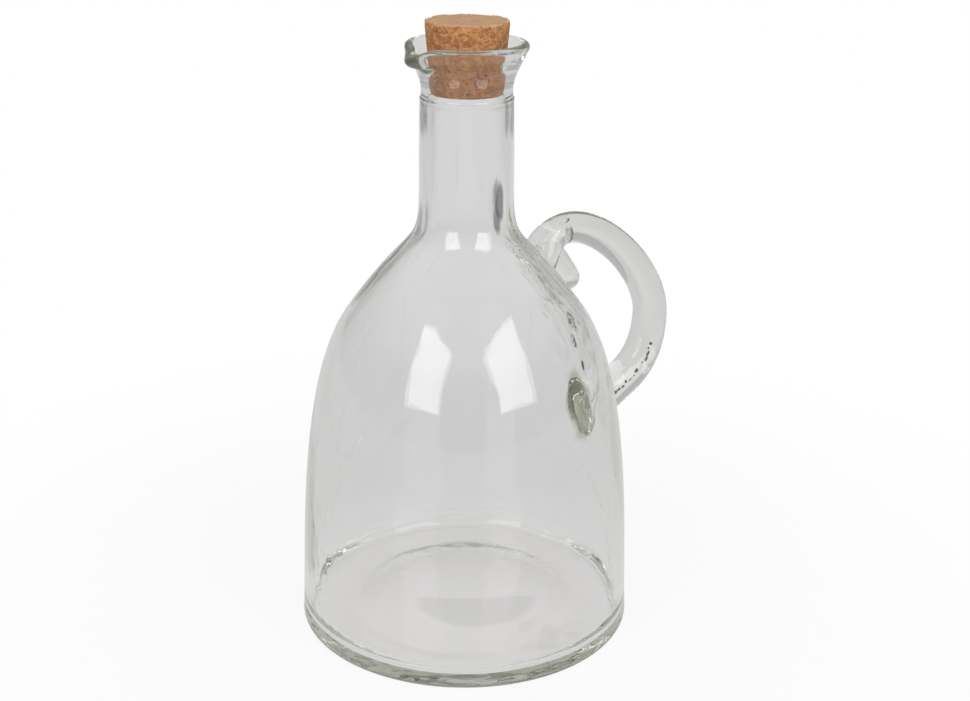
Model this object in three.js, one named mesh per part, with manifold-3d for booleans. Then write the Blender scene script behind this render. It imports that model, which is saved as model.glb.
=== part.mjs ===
// Bell-shaped glass oil bottle with a pulled pouring lip, a loop handle of applied glass and a tapered cork.
// Millimetres and degrees, +Z up. The handle points along +X and the pouring lip along -X.
// The origin is at the bottom centre of the whole box, so the bottle's axis lies on the -X side of it.

import * as THREE from "three";
import { mergeVertices } from "three/addons/utils/BufferGeometryUtils.js";
import Module from "manifold-3d";

// Bell of the body, outside
const BODY_RADIUS = 60;
const HEEL_RADIUS = 2;
const BODY_LEAN = 4;
const BODY_ARM = 25;
const SHOULDER_RADIUS = 42;
const SHOULDER_HEIGHT = 115.5;
const SHOULDER_LEAN = 35;
const SHOULDER_ARM_BELOW = 31;
const SHOULDER_ARM_ABOVE = 45;

// Neck and the parting ring that the finishing tool left round it
const NECK_RADIUS = 16.1;
const NECK_TAPER = 0.3;
const NECK_ARM = 36;
const SHOULDER_TO_NECK = 54.5;
const NECK_LENGTH = 19.5;
const RING_PROUD = 0.18;
const RING_HEIGHT = 1.3;

// Mouth: a straight throat, a flare and a rounded rim
const THROAT_INSET = 0.4;
const THROAT_WALL = 2.6;
const THROAT_LENGTH = 3.2;
const BORE_LENGTH = 8.2;
const FLARE_OUT = 5.1;
const FLARE_HEIGHT = 12.9;
const FLARE_LEAN = 26;
const FLARE_ARM_LOW = 3.5;
const FLARE_ARM_HIGH = 6;
const RIM_THICKNESS = 3.2;

// Pouring lip, pulled out and down from the rim
const LIP_WIDTH = 12;
const LIP_REACH = 3;
const LIP_DROP = 3.2;

// Glass thickness, base and push-up
const WALL = 3;
const BASE_AT_WALL = 4.2;
const BASE_AT_CENTRE = 5.5;
const FLOOR_CORNER = 4.8;
const FLOOR_SLOPE = 1.8;
const STANDING_RING_INNER = 39;
const PUSH_UP = 3.5;
const PUSH_UP_FLAT = 24.5;

// Tapered cork
const STOPPER_LENGTH = 24;
const STOPPER_TAPER = 5;
const STOPPER_PROUD = 9.3;
const STOPPER_EDGE = 0.7;
const STOPPER_CLEARANCE = 0.2;

// Handle: where it is pressed on, how far its loop stands out and how thick the glass is
const HANDLE_ABOVE_SHOULDER = 14;
const HANDLE_BELOW_SHOULDER = 51;
const LOOP_REACH = 25;
const LOOP_BELOW_SHOULDER = 16.5;
const CREST_ARM = 28;
const CREST_RISE = 69;
const LOOP_ARM_UP = 22;
const LOOP_ARM_DOWN = 22;
const FOOT_ARM = 14;
const FOOT_RISE = 25;
const ROD_RADIUS_TOP = 5.3;
const ROD_RADIUS_SIDE = 6.5;
const ROD_RADIUS_FOOT = 7.6;
const FOOT_SPREAD = 4.5;
const CREST_SPREAD = 2.5;
const PRESS_LENGTH = 14;
const PRESS_DEPTH = 7;
const TAIL_DROP = 15.5;
const TAIL_RADIUS = 5.3;
const KNOB_RADIUS = 5;
const TAIL_SINK = 1;
const HANDLE_GAP = 0.3;

// Fineness of the facets
const ROUND_STEPS = 56;
const ROD_SIDES = 14;

const wasm = await Module();
wasm.setup();

const radians = THREE.MathUtils.degToRad;
const smoothstep = THREE.MathUtils.smoothstep;
const at = (radius, height) => new THREE.Vector2(radius, height);

// A point at a distance from another, along a line that leans inwards from straight up
function leaning(start, distance, degrees) {
  return at(start.x - distance * Math.sin(radians(degrees)), start.y + distance * Math.cos(radians(degrees)));
}

// Levels and radii that several pieces share
const neckFootLevel = SHOULDER_HEIGHT + SHOULDER_TO_NECK;
const ringLevel = neckFootLevel + NECK_LENGTH;
const throatLevel = ringLevel + RING_HEIGHT;
const flareLevel = throatLevel + THROAT_LENGTH;
const rimLevel = flareLevel + FLARE_HEIGHT;
const neckTopRadius = NECK_RADIUS - NECK_TAPER;
const throatRadius = neckTopRadius - THROAT_INSET;
const throatBore = throatRadius - THROAT_WALL;
const boreLevel = throatLevel + BORE_LENGTH;
const rimRadius = throatRadius + FLARE_OUT;

// Outside of the bell in two curves: heel to shoulder, and shoulder to neck
const heel = at(BODY_RADIUS, HEEL_RADIUS);
const shoulder = at(SHOULDER_RADIUS, SHOULDER_HEIGHT);
const neckFoot = at(NECK_RADIUS, neckFootLevel);
const bodyCurve = new THREE.CubicBezierCurve(
  heel,
  leaning(heel, BODY_ARM, BODY_LEAN),
  leaning(shoulder, -SHOULDER_ARM_BELOW, SHOULDER_LEAN),
  shoulder,
);
const sweepCurve = new THREE.CubicBezierCurve(
  shoulder,
  leaning(shoulder, SHOULDER_ARM_ABOVE, SHOULDER_LEAN),
  leaning(neckFoot, -NECK_ARM, 0),
  neckFoot,
);

// Direction square to a curve, to its right, which is away from the axis on a curve that climbs
function sideways(curve, t) {
  const along = curve.getTangent(t);
  return at(along.y, -along.x);
}

// Points along a curve, moved sideways by a distance
function beside(curve, distance, steps) {
  const points = [];
  for (let step = 0; step <= steps; step += 1) {
    const t = step / steps;
    points.push(curve.getPoint(t).addScaledVector(sideways(curve, t), distance));
  }
  return points;
}

// The outer surface of the bell at a height, moved outwards by a distance
function onBell(height, outwards) {
  const curve = height < SHOULDER_HEIGHT ? bodyCurve : sweepCurve;
  let low = 0;
  let high = 1;
  for (let halving = 0; halving < 40; halving += 1) {
    const middle = (low + high) / 2;
    if (curve.getPoint(middle).y < height) low = middle;
    else high = middle;
  }
  return curve.getPoint(low).addScaledVector(sideways(curve, low), outwards);
}

// Underside, standing ring, heel, bell and neck, up to the top of the parting ring
function outerOutline() {
  const ringEdge = at(STANDING_RING_INNER, 0);
  const underside = new THREE.QuadraticBezierCurve(at(0, PUSH_UP), at(PUSH_UP_FLAT, PUSH_UP), ringEdge);
  const heelArc = new THREE.EllipseCurve(
    BODY_RADIUS - HEEL_RADIUS, HEEL_RADIUS, HEEL_RADIUS, HEEL_RADIUS, -Math.PI / 2, 0,
  );
  const ringArc = new THREE.EllipseCurve(
    neckTopRadius, ringLevel + RING_HEIGHT / 2, RING_PROUD, RING_HEIGHT / 2, -Math.PI / 2, Math.PI / 2,
  );
  return [
    ...underside.getPoints(4),
    ...heelArc.getPoints(2),
    ...bodyCurve.getPoints(10).slice(1),
    ...sweepCurve.getPoints(10).slice(1),
    ...ringArc.getPoints(3),
  ];
}

// Throat, flare and rim outside, then the rounded rim and the flare inside, down to the throat's bore
function mouthOutline() {
  const flareFoot = at(throatRadius, flareLevel);
  const rimOutside = at(rimRadius, rimLevel);
  const flare = new THREE.CubicBezierCurve(
    flareFoot,
    leaning(flareFoot, FLARE_ARM_LOW, 0),
    leaning(rimOutside, -FLARE_ARM_HIGH, -FLARE_LEAN),
    rimOutside,
  );
  const rimRound = RIM_THICKNESS / 2;
  const rimCentre = rimOutside.clone().addScaledVector(sideways(flare, 1), -rimRound);
  const rimArc = new THREE.EllipseCurve(
    rimCentre.x, rimCentre.y, rimRound, rimRound, radians(-FLARE_LEAN), Math.PI - radians(FLARE_LEAN),
  );
  const rimInside = rimCentre.clone().addScaledVector(sideways(flare, 1), -rimRound);
  const boreTop = at(throatBore, boreLevel);
  const flareInside = new THREE.CubicBezierCurve(
    rimInside,
    leaning(rimInside, -FLARE_ARM_HIGH, -FLARE_LEAN),
    leaning(boreTop, FLARE_ARM_LOW, 0),
    boreTop,
  );
  return [
    at(throatRadius, throatLevel),
    ...flare.getPoints(4),
    ...rimArc.getPoints(4).slice(1, -1),
    ...flareInside.getPoints(4),
    at(throatBore, throatLevel),
  ];
}

// Inside of the neck, bell and base, from the parting ring down to the middle of the floor
function innerOutline() {
  const floorEdge = BASE_AT_WALL + FLOOR_CORNER;
  const wall = [...beside(bodyCurve, -WALL, 8), ...beside(sweepCurve, -WALL, 8).slice(1)];
  const aboveCorner = wall.filter((place) => place.y > floorEdge).reverse();
  const cornerTop = onBell(floorEdge, -WALL);
  const cornerBend = at(cornerTop.x - FLOOR_SLOPE / 4, floorEdge - FLOOR_CORNER * 0.6);
  const cornerFoot = at(cornerTop.x - FLOOR_SLOPE, BASE_AT_WALL);
  const corner = new THREE.QuadraticBezierCurve(cornerTop, cornerBend, cornerFoot);
  const floorCentre = at(0, PUSH_UP + BASE_AT_CENTRE);
  const floor = new THREE.QuadraticBezierCurve(cornerFoot, at(PUSH_UP_FLAT, floorCentre.y), floorCentre);
  return [
    at(neckTopRadius - WALL, ringLevel),
    ...aboveCorner,
    ...corner.getPoints(3),
    ...floor.getPoints(4).slice(1),
  ];
}

// An outline turned round the upright axis
function turned(outline) {
  return new THREE.LatheGeometry(outline, ROUND_STEPS).rotateX(Math.PI / 2);
}

// The rim drawn out and down into a lip at -X
function pullLip(geometry) {
  const position = geometry.getAttribute("position");
  const halfAngle = Math.asin(LIP_WIDTH / 2 / rimRadius);
  for (let index = 0; index < position.count; index += 1) {
    const x = position.getX(index);
    const y = position.getY(index);
    const z = position.getZ(index);
    const aside = (Math.atan2(y, -x) / halfAngle) ** 2;
    const pull = smoothstep(z, flareLevel, rimLevel) ** 3 * Math.exp(-aside);
    const stretch = 1 + (LIP_REACH * pull ** 2) / Math.max(Math.hypot(x, y), throatBore);
    position.setXYZ(index, x * stretch, y * stretch, z - LIP_DROP * pull);
  }
  return geometry;
}

function bottleGeometry() {
  return pullLip(turned([...outerOutline(), ...mouthOutline(), ...innerOutline()]));
}

// The cork: its side seats on the top of the throat's bore, where the flare begins
function stopperGeometry() {
  const top = rimLevel + STOPPER_PROUD;
  const foot = top - STOPPER_LENGTH;
  const slope = Math.tan(radians(STOPPER_TAPER));
  const radiusAt = (level) => throatBore - STOPPER_CLEARANCE + slope * (level - boreLevel);
  return turned([
    at(0, foot),
    at(radiusAt(foot) - STOPPER_EDGE, foot),
    at(radiusAt(foot), foot + STOPPER_EDGE),
    at(radiusAt(boreLevel), boreLevel),
    at(radiusAt(top), top - STOPPER_EDGE),
    at(radiusAt(top) - STOPPER_EDGE, top),
    at(0, top),
  ]);
}

// A bar of glass along a curve in the handle's upright plane, with oval sections
function drawnBar(curve, steps, thicknessAt, widthAt) {
  const vertices = [];
  const faces = [];
  for (let step = 0; step <= steps; step += 1) {
    const t = step / steps;
    const centre = curve.getPoint(t);
    const outwards = sideways(curve, t);
    for (let side = 0; side < ROD_SIDES; side += 1) {
      const turn = (2 * Math.PI * side) / ROD_SIDES;
      const place = centre.clone().addScaledVector(outwards, thicknessAt(t) * Math.cos(turn));
      vertices.push(place.x, widthAt(t) * Math.sin(turn), place.y);
    }
  }
  const corner = (step, side) => step * ROD_SIDES + (side % ROD_SIDES);
  for (let step = 0; step < steps; step += 1) {
    for (let side = 0; side < ROD_SIDES; side += 1) {
      faces.push(corner(step, side), corner(step, side + 1), corner(step + 1, side));
      faces.push(corner(step, side + 1), corner(step + 1, side + 1), corner(step + 1, side));
    }
  }
  for (let side = 1; side < ROD_SIDES - 1; side += 1) {
    faces.push(corner(0, 0), corner(0, side + 1), corner(0, side));
    faces.push(corner(steps, 0), corner(steps, side), corner(steps, side + 1));
  }
  const geometry = new THREE.BufferGeometry();
  geometry.setAttribute("position", new THREE.Float32BufferAttribute(vertices, 3));
  geometry.setIndex(faces);
  return geometry;
}

// Levels of the two places where the handle is pressed on the bell
const crestLevel = SHOULDER_HEIGHT + HANDLE_ABOVE_SHOULDER;
const footLevel = SHOULDER_HEIGHT - HANDLE_BELOW_SHOULDER;

// The loop: up and out from the shoulder, over the crest, down the side and in to the body
function rodGeometry() {
  const crest = onBell(crestLevel, 0);
  const foot = onBell(footLevel, 0);
  const side = at(BODY_RADIUS + LOOP_REACH, SHOULDER_HEIGHT - LOOP_BELOW_SHOULDER);
  const crestDirection = at(Math.cos(radians(CREST_RISE)), Math.sin(radians(CREST_RISE)));
  const footDirection = at(Math.cos(radians(FOOT_RISE)), Math.sin(radians(FOOT_RISE)));
  const from = (place, direction, distance) => place.clone().addScaledVector(direction, distance);
  const upper = new THREE.CubicBezierCurve(
    crest, from(crest, crestDirection, CREST_ARM), at(side.x, side.y + LOOP_ARM_UP), side,
  );
  const lower = new THREE.CubicBezierCurve(
    side, at(side.x, side.y - LOOP_ARM_DOWN), from(foot, footDirection, FOOT_ARM), foot,
  );
  const path = new THREE.CurvePath();
  path.add(new THREE.LineCurve(from(crest, crestDirection, -PRESS_DEPTH), crest));
  path.add(upper);
  path.add(lower);
  path.add(new THREE.LineCurve(foot, from(foot, footDirection, -PRESS_DEPTH)));

  const length = path.getLength();
  const sidePlace = PRESS_DEPTH + upper.getLength();
  const radiusAt = (place) => {
    if (place < sidePlace) return THREE.MathUtils.lerp(ROD_RADIUS_TOP, ROD_RADIUS_SIDE, place / sidePlace);
    const share = (place - sidePlace) / (length - sidePlace);
    return THREE.MathUtils.lerp(ROD_RADIUS_SIDE, ROD_RADIUS_FOOT, share);
  };
  const pressed = PRESS_DEPTH + PRESS_LENGTH;
  const spreadAt = (place) =>
    CREST_SPREAD * (1 - smoothstep(place, PRESS_DEPTH, pressed)) +
    FOOT_SPREAD * smoothstep(place, length - pressed, length - PRESS_DEPTH);
  const thicknessAt = (t) => radiusAt(t * length) + spreadAt(t * length) / 4;
  const widthAt = (t) => radiusAt(t * length) + spreadAt(t * length);
  return drawnBar(path, 32, thicknessAt, widthAt);
}

// The tail: the rod's end folded back down the shoulder, with a round knob
function tailGeometry() {
  const path = new THREE.SplineCurve([
    onBell(crestLevel, TAIL_RADIUS - TAIL_SINK),
    onBell(crestLevel - TAIL_DROP / 2, TAIL_RADIUS - TAIL_SINK),
    onBell(crestLevel - TAIL_DROP, KNOB_RADIUS - TAIL_SINK),
  ]);
  const roundFrom = 1 - KNOB_RADIUS / path.getLength();
  const radiusAt = (t) => {
    const rounding = Math.max(0, (t - roundFrom) / (1 - roundFrom));
    return THREE.MathUtils.lerp(TAIL_RADIUS, KNOB_RADIUS, t) * Math.sqrt(1 - rounding ** 2);
  };
  return drawnBar(path, 16, radiusAt, radiusAt);
}

// A closed geometry as a solid for joining and cutting
function solidOf(geometry) {
  geometry.deleteAttribute("normal");
  geometry.deleteAttribute("uv");
  const merged = mergeVertices(geometry);
  const vertProperties = merged.getAttribute("position").array;
  const triVerts = new Uint32Array(merged.getIndex().array);
  return new wasm.Manifold(new wasm.Mesh({ numProp: 3, vertProperties, triVerts }));
}

// Rod and tail in one, cut to the bell with a small gap
function handleGeometry() {
  const bell = turned([
    at(0, HEEL_RADIUS),
    ...beside(bodyCurve, HANDLE_GAP, 10),
    ...beside(sweepCurve, HANDLE_GAP, 10).slice(1),
    at(0, neckFootLevel),
  ]);
  const cut = solidOf(rodGeometry()).add(solidOf(tailGeometry())).subtract(solidOf(bell)).getMesh();
  const geometry = new THREE.BufferGeometry();
  geometry.setAttribute("position", new THREE.BufferAttribute(cut.vertProperties, 3));
  geometry.setIndex(new THREE.BufferAttribute(cut.triVerts, 1));
  geometry.computeVertexNormals();
  return geometry;
}

function piece(name, geometry, finish) {
  const mesh = new THREE.Mesh(geometry, new THREE.MeshStandardMaterial(finish));
  mesh.name = name;
  return mesh;
}

const clearGlass = { color: 0xdfe3dd, roughness: 0.04, metalness: 0, transparent: true, opacity: 0.35 };
const pressedCork = { color: 0xb98a5c, roughness: 0.9, metalness: 0 };

const onAxis = new THREE.Group();
onAxis.add(piece("glass_bottle", bottleGeometry(), clearGlass));
onAxis.add(piece("handle", handleGeometry(), clearGlass));
onAxis.add(piece("cork_stopper", stopperGeometry(), pressedCork));
onAxis.position.x = -new THREE.Box3().setFromObject(onAxis).getCenter(new THREE.Vector3()).x;

const bottle = new THREE.Group();
bottle.add(onAxis);

export default bottle;
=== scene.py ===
"""Looks of a blown glass bottle with a pulled lip, an applied loop handle and a cork of pressed granules."""

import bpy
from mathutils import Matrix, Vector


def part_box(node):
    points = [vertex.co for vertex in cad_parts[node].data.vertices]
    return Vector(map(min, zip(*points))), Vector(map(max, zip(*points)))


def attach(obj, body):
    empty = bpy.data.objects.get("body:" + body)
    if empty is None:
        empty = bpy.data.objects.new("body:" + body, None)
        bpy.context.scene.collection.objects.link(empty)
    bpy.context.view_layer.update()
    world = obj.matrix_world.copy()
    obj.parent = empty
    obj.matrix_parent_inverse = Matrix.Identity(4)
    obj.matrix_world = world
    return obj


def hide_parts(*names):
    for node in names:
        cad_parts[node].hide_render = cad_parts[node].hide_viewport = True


bl_info = {
    "name": "Glass bottle with applied handle",
    "version": (1, 0, 0),
    "blender": (4, 5, 0),
    "location": "View3D > Sidebar > Bottle",
    "description": "Turns the glass, applies the handle, presses the cork and sets the stage",
    "category": "Add Mesh",
}

import math
from types import SimpleNamespace

import bpy
import numpy as np
from mathutils import Euler, Matrix, Vector

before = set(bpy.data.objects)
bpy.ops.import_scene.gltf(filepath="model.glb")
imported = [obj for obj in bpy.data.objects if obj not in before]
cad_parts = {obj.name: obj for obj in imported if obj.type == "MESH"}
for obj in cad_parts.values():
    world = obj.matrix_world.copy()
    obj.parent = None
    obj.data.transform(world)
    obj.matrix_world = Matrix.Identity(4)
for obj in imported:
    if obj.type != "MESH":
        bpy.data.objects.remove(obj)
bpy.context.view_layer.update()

BOTTLE_LOW, BOTTLE_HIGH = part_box("glass_bottle")
CORK_LOW, CORK_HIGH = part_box("cork_stopper")
AXIS_X = (CORK_LOW.x + CORK_HIGH.x) / 2
BODY_RADIUS_MM = (BOTTLE_HIGH.y - BOTTLE_LOW.y) / 2 * 1000
CORK_TOP_RADIUS = (CORK_HIGH.x - CORK_LOW.x) / 2
MM = 0.001
QUARTER = math.pi / 2
FINE_STEPS = 400
PRESS_STEPS = 6
LOOP_STEPS = 64
BELL_STEPS = 60
FLOOR_STEPS = 96
MERGE_DISTANCE = 1e-6
LIGHT_BOUNCES = 120
SENSOR_WIDTH = 36.0
FLOOR_GAP = 0.2 * MM

# The mould seam: how the faces crowd to it, its share at the lip, where it fades in and where it starts
SEAM_CROWDING = 0.3
SEAM_AT_LIP = 0.2
SEAM_FADE = 10 * MM
SEAM_START = (8 * MM, 16 * MM)

# Tool marks, pockets whose faces get painted shade: where they lie round the rod, from its inner side, and
# how their sizes differ
MARK_TURN = math.radians(60)
MARK_SCATTER = math.radians(14)
MARK_SIZES = (0.3, 1.0)

# Air in the handle's fold: the end it lies by, the way from there in mm, its run and its half sizes in mm
FOLD_POCKETS = (
    ("crest", (10.0, -1.0, 11.6), (1, 0, 0.3), (0.7, 0.7, 2.2)),
    ("crest", (11.0, -1.0, 7.6), (0.3, 0, 1), (1.7, 1.7, 2.6)),
    ("crest", (8.8, -1.4, 5.4), (0.5, 0, 1), (0.5, 0.5, 1.3)),
    ("knob", (1.2, -1.6, 0.6), (0, 0, 1), (0.4, 0.4, 1.3)),
)

# Noise in the glass, in 1/m: edges of the patches, waves of the surface and dull spots from handling
PATCH_NOISE = 60.0
WAVE_NOISE = 70.0
HANDLING_NOISE = 45.0

# How much darker the floor is by the bottle, seen straight and through glass, where the lit paper's own
# shadow shows; and how much painted shadow lies behind and beneath it and painted shade aside
DIM = SimpleNamespace(straight=0.11, through=0.05, behind=0.08, beneath=0.14, aside=0.14)

# Distances between which those shades and painted shadows fade, and how far the painted shadow's half disc
# beneath is off the bottle's axis
FADE = SimpleNamespace(
    near=(80 * MM, 300 * MM),
    behind=(50 * MM, 120 * MM),
    beyond=(200 * MM, 600 * MM),
    beneath=(20 * MM, 24 * MM),
    half=(-3 * MM, -1 * MM),
)
DISC_SHIFT = 4 * MM


# Kinds of settings


def length(name, millimetres, description):
    return bpy.props.FloatProperty(
        name=name, description=description, default=millimetres * MM, precision=5, unit="LENGTH"
    )


def angle(name, degrees, description):
    return bpy.props.FloatProperty(
        name=name, description=description, default=math.radians(degrees), subtype="ANGLE"
    )


def number(name, default, description):
    return bpy.props.FloatProperty(name=name, description=description, default=default, precision=4)


def count(name, default, description):
    return bpy.props.IntProperty(name=name, description=description, default=default, min=1)


def colour(name, red, green, blue, description):
    return bpy.props.FloatVectorProperty(
        name=name, description=description, default=(red, green, blue), subtype="COLOR", min=0, max=1
    )


class BodySizes(bpy.types.PropertyGroup):
    """Sizes of the turned glass: bell, neck, mouth, lip and base."""

    body_radius: length("Body radius", BODY_RADIUS_MM, "Outside radius just above the heel")
    heel_radius: length("Heel radius", 2.0, "Rounding between the side and the standing ring")
    body_lean: angle("Body lean", 4.0, "How far the side leans in just above the heel")
    body_arm: length("Body arm", 25.0, "How far the straight start of the side reaches")
    shoulder_radius: length("Shoulder radius", 42.0, "Outside radius where the bell turns over to the neck")
    shoulder_height: length("Shoulder height", 115.5, "Height of the shoulder")
    shoulder_lean: angle("Shoulder lean", 35.0, "How far the shoulder leans in")
    shoulder_arm_below: length("Arm below the shoulder", 31.0, "Pull of the bell's curve below the shoulder")
    shoulder_arm_above: length("Arm above the shoulder", 45.0, "Pull of the sweep's curve above the shoulder")
    neck_radius: length("Neck radius", 16.1, "Outside radius at the foot of the neck")
    neck_taper: length("Neck taper", 0.3, "How much narrower the neck is at its top")
    neck_arm: length("Neck arm", 36.0, "Pull of the sweep's curve below the neck")
    neck_foot: length("Neck foot", 170.0, "Height where the neck starts")
    ring_height: length("Ring level", 189.5, "Height of the lower edge of the parting ring")
    ring_width: length("Ring width", 1.3, "Width of the parting ring")
    ring_proud: length("Ring proud", 0.05, "How far the parting ring stands out")
    throat_inset: length("Throat inset", 0.4, "How far the throat steps in above the ring")
    throat_wall: length("Throat wall", 2.6, "Glass thickness at the throat")
    flare_foot: length("Flare foot", 194.0, "Height where the mouth starts to flare")
    bore_top: length("Bore top", 199.0, "Height where the bore ends and the inside flares")
    rim_level: length("Rim level", 206.9, "Height of the widest part of the rim")
    flare_out: length("Flare", 5.1, "How far the rim stands out from the throat")
    flare_lean: angle("Flare lean", 26.0, "Lean of the mouth at the rim")
    flare_arm_low: length("Flare arm below", 3.5, "Pull of the flare's curve at its foot")
    flare_arm_high: length("Flare arm above", 6.0, "Pull of the flare's curve at the rim")
    rim_thickness: length("Rim thickness", 3.2, "Thickness of the rounded rim")
    lip_width: length("Lip width", 12.0, "Width of the pouring lip")
    lip_reach: length("Lip reach", 3.0, "How far the lip is pulled out")
    lip_drop: length("Lip drop", 3.2, "How far the lip is pulled down")
    lip_give: number("Lip give", 0.6, "How far the inside of the lip follows its outside")
    wall: length("Wall", 3.0, "Glass thickness of the side")
    base_at_wall: length("Base at the wall", 4.2, "Height of the floor's edge")
    base_at_centre: length("Base at the centre", 5.5, "Glass thickness over the push-up")
    floor_corner: length("Floor corner", 4.8, "Height of the slope between the floor and the wall inside")
    floor_slope: length("Floor slope", 1.8, "Width of the slope between the floor and the wall inside")
    standing_ring: length("Standing ring", 39.0, "Inner radius of the ring that the bottle stands on")
    push_up: length("Push-up", 3.5, "Height of the hollow under the base")
    push_up_flat: length("Push-up flat", 24.5, "Pull of the push-up's curve from the middle")
    outer_wave: length("Wave outside", 0.05, "Unevenness of the outer surface")
    inner_wave: length("Wave inside", 0.3, "Unevenness of the inner surface")
    corner_wave: length("Wave of the floor's edge", 0.45, "Unevenness where the wall meets the floor")
    thin_share: number("Thin share", 0.025, "How far the floor's edge lies out on the thin side")
    thin_side: angle("Thin side", 56.0, "Where round the axis the wall is thinnest at the floor")
    press_swell: length("Press swell", 1.3, "How far the inside bulges behind the handle's ends")
    neck_swell: length("Neck swell", 0.5, "How far the inside of the neck bulges")
    side_swell: length("Side swell", 0.9, "How far the inside of the side bulges")
    ridge_swell: length("Ridge swell", 1.8, "How far the inside bulges in a wavy ridge beside the handle")
    ridge_turn: angle("Ridge turn", 8.0, "How far the ridges lie beside the handle")
    ridge_spots: count("Ridge spots", 6, "Thick spots along a ridge")
    seam_proud: length("Seam proud", 0.15, "How far the mould seam stands out")
    seam_inside: length("Seam inside", 0.6, "How far the wall bulges inside along the mould seam")
    seam_width: length("Seam width", 1.5, "Half the width of the mould seam")
    short_waves: length("Short waves", 2.0, "Height of the long waves at which short ones are as high")
    wave_length: length("Wave length", 24.0, "Distance between the waves in the glass")
    round_steps: count("Round steps", 224, "Faces round the axis")
    seed: number("Seed", 4.0, "Picks the waves")


class HandleSizes(bpy.types.PropertyGroup):
    """Sizes of the loop handle, its tail and the tool marks on it."""

    crest_level: length("Crest level", 129.5, "Height where the loop is pressed on the shoulder")
    foot_level: length("Foot level", 67.5, "Height where the loop is pressed on the body")
    loop_reach: length("Loop reach", 25.0, "How far the middle of the rod stands out from the body")
    loop_level: length("Loop level", 99.0, "Height where the loop stands out most")
    crest_arm: length("Crest arm", 28.0, "Pull of the loop's curve at the shoulder")
    crest_rise: angle("Crest rise", 69.0, "How steeply the loop leaves the shoulder")
    loop_arm: length("Loop arm", 22.0, "Pull of the loop's curve at its side")
    foot_arm: length("Foot arm", 14.0, "Pull of the loop's curve at the foot")
    foot_rise: angle("Foot rise", 19.0, "How steeply the loop leaves the body")
    radius_top: length("Rod radius at the crest", 5.3, "Radius of the rod at the shoulder")
    radius_side: length("Rod radius at the side", 6.5, "Radius of the rod at its side")
    radius_foot: length("Rod radius at the foot", 7.6, "Radius of the rod at the body")
    crest_spread: length("Crest spread", 2.5, "How much the rod widens where it is pressed on the shoulder")
    foot_spread: length("Foot spread", 1.0, "How much the rod widens where it is pressed on the body")
    foot_run: length("Foot run", 5.0, "How far the foot runs up and down the body where it is pressed on")
    press_length: length("Press length", 14.0, "Length over which the rod widens")
    press_depth: length("Press depth", 7.0, "How far the rod is drawn past the surface before it is trimmed")
    tail_drop: length("Tail drop", 15.5, "How far the folded tail runs down the shoulder")
    tail_radius: length("Tail radius", 5.3, "Radius of the tail")
    knob_radius: length("Knob radius", 5.0, "Radius of the tail's round end")
    tail_sink: length("Tail sink", 1.0, "How far the tail is pressed into the shoulder")
    gap: length("Gap", 0.3, "Space between the handle and the body")
    marks_top: length("Marks top", 88.0, "Height where the row of tool marks starts")
    marks_foot: length("Marks foot", 69.0, "Height where the row of tool marks ends")
    marks: count("Marks", 15, "Tool marks in the row")
    mark_length: length("Mark length", 3.4, "Length of a tool mark")
    mark_width: length("Mark width", 1.5, "Width of a tool mark")
    seed: count("Seed", 3, "Picks the sizes of the tool marks")
    sides: count("Sides", 96, "Faces round the rod")


class CorkSizes(bpy.types.PropertyGroup):
    """Sizes of the pressed cork."""

    edge: length("Edge", 0.7, "Rounding of the cork's edges")
    taper: angle("Taper", 5.0, "Lean of the cork's side")
    granule: length("Granule", 1.5, "Size of the cork granules")
    crumble: length("Crumble", 0.36, "Depth of the gaps between the granules")
    chipping: length("Chipping", 0.8, "How far granules have broken away round the top edge")
    round_steps: count("Round steps", 240, "Faces round the axis")
    seed: number("Seed", 7.0, "Picks the granules")


class Finish(bpy.types.PropertyGroup):
    """Colours of glass and cork, and of the shade and light painted on them."""

    glass: colour("Glass", 0.982, 0.974, 0.977, "Tint of the glass surface")
    glass_depth: colour("Glass depth", 0.64, 0.67, 0.58, "Colour of light that has come through thick glass")
    glass_density: number("Glass density", 14.5, "How quickly thick glass takes its colour, in 1/m")
    # Painted shade: darkens the glass where the handle's foot meets the body
    foot_painted_shade: colour("Pressed glass", 0.60, 0.61, 0.50, "Tint of the glass at the handle's foot")
    # Painted shade: a dark streak and a faint one in the neck, where the uneven glass turns light away
    cord_painted_shade: colour("Cord", 0.14, 0.14, 0.145, "Tint of a cord, a streak of darker glass in the neck")
    streak_painted_shade: colour("Streak", 0.36, 0.36, 0.36, "Tint of a faint cord in the neck")
    # Painted shade: darkens the pulled lip, where the glass inside reflects dark surroundings
    lip_painted_shade: colour("Lip", 0.78, 0.79, 0.74, "Tint of the glass where the lip is pulled")
    # Painted shade: dark strips at the sides of the neck below the parting ring
    collar_painted_shade: colour("Collar", 0.28, 0.28, 0.28, "Tint of the strips below the parting ring")
    # Painted shade: near-black on the faces of the tool marks, in place of the dark edges such pockets show
    tool_mark_painted_shade: colour("Tool mark", 0.03, 0.03, 0.026, "Colour of the marks that the tool leaves on the rod")
    cork_light: colour("Light cork", 0.63, 0.30, 0.122, "Colour of the pale granules")
    cork_dark: colour("Dark cork", 0.37, 0.148, 0.05, "Colour of the dark granules")
    cork_top: colour("Cork top", 0.68, 0.437, 0.25, "Colour of the cut face on top")
    cork_gap: colour("Cork gap", 0.15, 0.058, 0.018, "Colour of the gaps between granules")
    # Painted light: pales the cork where it sits in the throat, in place of the lamps' light that the glass
    # holds back
    cork_seat_painted_light: colour("Cork seat", 0.92, 0.42, 0.16, "Colour that pales the cork where it sits in the throat")


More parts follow.
